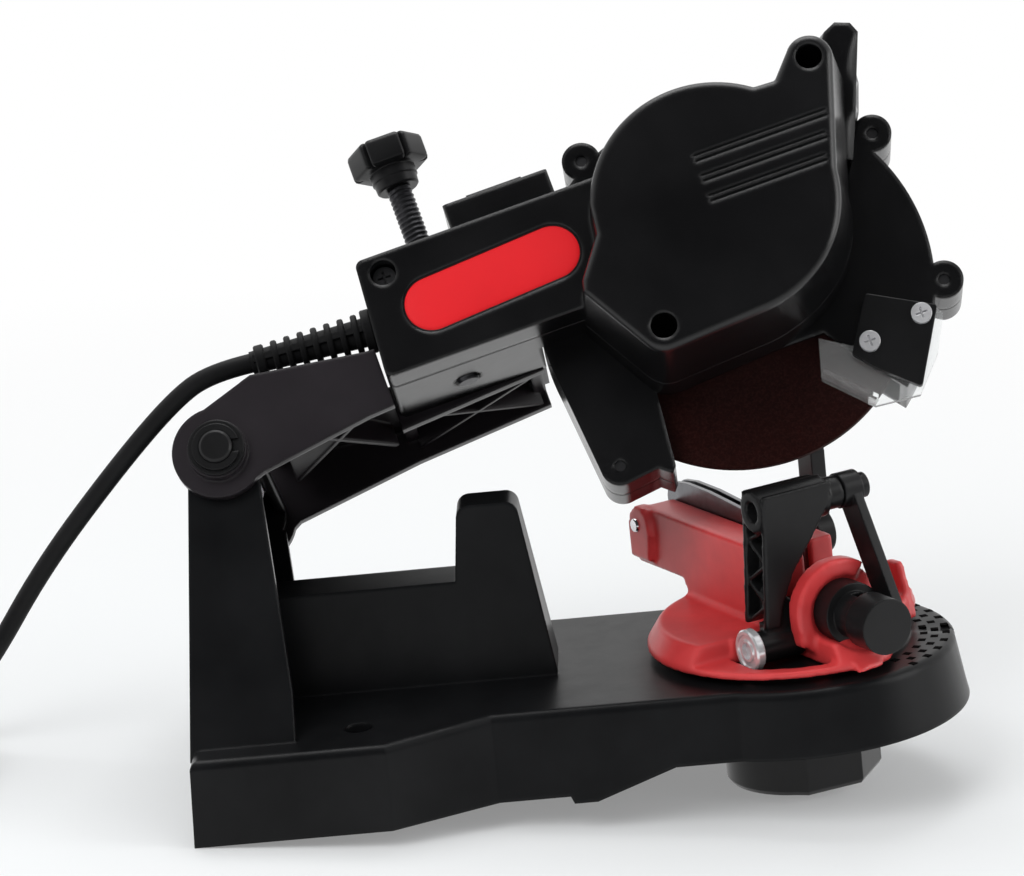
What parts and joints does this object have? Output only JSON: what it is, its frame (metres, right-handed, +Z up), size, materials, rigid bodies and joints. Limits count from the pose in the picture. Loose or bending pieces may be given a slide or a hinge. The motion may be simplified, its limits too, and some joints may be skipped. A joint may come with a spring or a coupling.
{
  "type": "electric chainsaw sharpener",
  "caption": "Bench-mounted electric chain grinder: a leaning motor head with a guarded grinding wheel swings down to a red turntable vice.",
  "frame": {"origin": "midway between the two bench bolt holes, on the plane of the base's underside that lies on the bench", "axes": "+Z up out of the bench, along the bench bolts; +X from the upright towards the turntable vice; the viewer's side is -Y"},
  "size_m": [0.4125, 0.1503, 0.225],
  "materials": {
    "base_black": "satin moulding, fine grain",
    "housing_black": "satin moulding",
    "carrier_black": "satin black paint",
    "knob_black": "satin moulding",
    "vice_red": "satin red paint",
    "badge_red": "smooth gloss",
    "jaw_steel": "brushed",
    "bright_steel": "bright plated",
    "magnet_grey": "as sintered",
    "abrasive_maroon": "rough vitrified grit",
    "clear_plastic": "clear polished",
    "board_green": "varnished",
    "cord_black": "matt flexible",
    "plug_brass": "turned"
  },
  "bodies": {
    "root": {"base_body": "base_black", "pivot_pin": "bright_steel", "pivot_washers": "jaw_steel", "pivot_circlips": "bright_steel", "return_spring": "bright_steel", "clamp_washer": "jaw_steel", "cord_run": "cord_black", "cord_coil": "cord_black", "plug_body": "cord_black", "plug_pins": "plug_brass"},
    "head": {"carrier_arm": "carrier_black", "carrier_screws": "bright_steel", "front_shell": "housing_black", "rear_shell": "housing_black", "housing_screws": "bright_steel", "badge_plate": "badge_red", "switch_body": "housing_black", "circuit_board": "board_green", "strain_relief": "cord_black", "motor_can": "jaw_steel", "motor_magnets": "magnet_grey", "motor_end_cap": "knob_black", "gear_plate": "knob_black", "arbor_bearings": "bright_steel", "guard_front": "housing_black", "guard_rear": "housing_black", "guard_screws": "bright_steel", "eye_shield": "clear_plastic", "shield_plate": "knob_black", "shield_screws": "bright_steel", "depth_nut": "bright_steel"},
    "rotor": {"armature": "jaw_steel", "motor_shaft": "bright_steel", "motor_pinion": "bright_steel"},
    "wheel": {"grinding_wheel": "abrasive_maroon", "arbor": "bright_steel", "wheel_gear": "bright_steel", "flange_near": "jaw_steel", "flange_far": "jaw_steel", "wheel_nut": "bright_steel"},
    "depth_stop": {"depth_screw": "bright_steel", "depth_knob": "knob_black"},
    "rocker": {"switch_rocker": "housing_black"},
    "turntable": {"turntable": "vice_red", "fixed_plate": "jaw_steel", "guide_pins": "bright_steel", "hinge_screw": "bright_steel", "clamp_bolt": "bright_steel"},
    "jaw": {"moving_jaw": "vice_red", "moving_plate": "jaw_steel"},
    "lever": {"clamp_lever": "knob_black", "jaw_screw": "bright_steel"},
    "chain_stop": {"stop_bracket": "knob_black", "stop_pin": "bright_steel"},
    "pawl": {"stop_pawl": "jaw_steel"},
    "adjuster": {"adjuster_knob": "knob_black", "adjuster_shaft": "bright_steel"},
    "clamp": {"clamp_knob": "knob_black"}
  },
  "joints": [
    {"name": "head_swing", "type": "hinge", "parent": "root", "child": "head", "pos_m": [-0.0353, 0.0154, 0.0888], "axis": [0, -0.866, 0.5], "range_deg": [-4.2, 0], "stiffness_Nm_per_rad": 4, "springref_deg": 34.38},
    {"name": "wheel_spin", "type": "hinge", "parent": "head", "child": "wheel", "pos_m": [0.12359, 0.03669, 0.12567], "axis": [0, -0.866, 0.5], "continuous": true},
    {"name": "motor_spin", "type": "hinge", "parent": "head", "child": "rotor", "pos_m": [0.11971, 0.04393, 0.13822], "axis": [0, -0.866, 0.5], "continuous": true},
    {"name": "depth_travel", "type": "slide", "parent": "head", "child": "depth_stop", "axis": [0.2588, -0.483, -0.8365], "range_m": [0, 0.023]},
    {"name": "switch_press", "type": "hinge", "parent": "head", "child": "rocker", "pos_m": [0.05346, 0.05359, 0.15494], "axis": [0, -0.866, 0.5], "range_deg": [-10, 10]},
    {"name": "table_turn", "type": "hinge", "parent": "root", "child": "turntable", "pos_m": [0.131, 0, 0.03], "axis": [0, 0, 1], "range_deg": [-58, 5]},
    {"name": "lever_turn", "type": "hinge", "parent": "turntable", "child": "lever", "pos_m": [0.116, 0.02598, 0.048], "axis": [0.866, 0.5, 0], "range_deg": [0, 100.2]},
    {"name": "jaw_clamp", "type": "slide", "parent": "turntable", "child": "jaw", "axis": [-0.866, -0.5, 0], "range_m": [0, 0.0011]},
    {"name": "adjuster_turn", "type": "hinge", "parent": "turntable", "child": "adjuster", "pos_m": [0.13187, 0.0005, 0.0425], "axis": [0.5, -0.866, 0], "range_deg": [-100, 100]},
    {"name": "stop_tilt", "type": "hinge", "parent": "turntable", "child": "chain_stop", "pos_m": [0.141, -0.01732, 0.034], "axis": [0.866, 0.5, 0], "range_deg": [-1.9, 1.9]},
    {"name": "pawl_flip", "type": "hinge", "parent": "chain_stop", "child": "pawl", "pos_m": [0.141, -0.01732, 0.076], "axis": [-0.866, -0.5, 0], "range_deg": [0, 80]},
    {"name": "clamp_turn", "type": "hinge", "parent": "root", "child": "clamp", "pos_m": [0.131, 0, 0], "axis": [0, 0, 1], "range_deg": [-180, 180]}
  ],
  "couplings": [
    {"joint": "motor_spin", "follows": "wheel_spin", "ratio": -2},
    {"joint": "lever_turn", "follows": "jaw_clamp", "rad_per_m": 1587.3},
    {"joint": "stop_tilt", "follows": "adjuster_turn", "ratio": 0.0187}
  ]
}
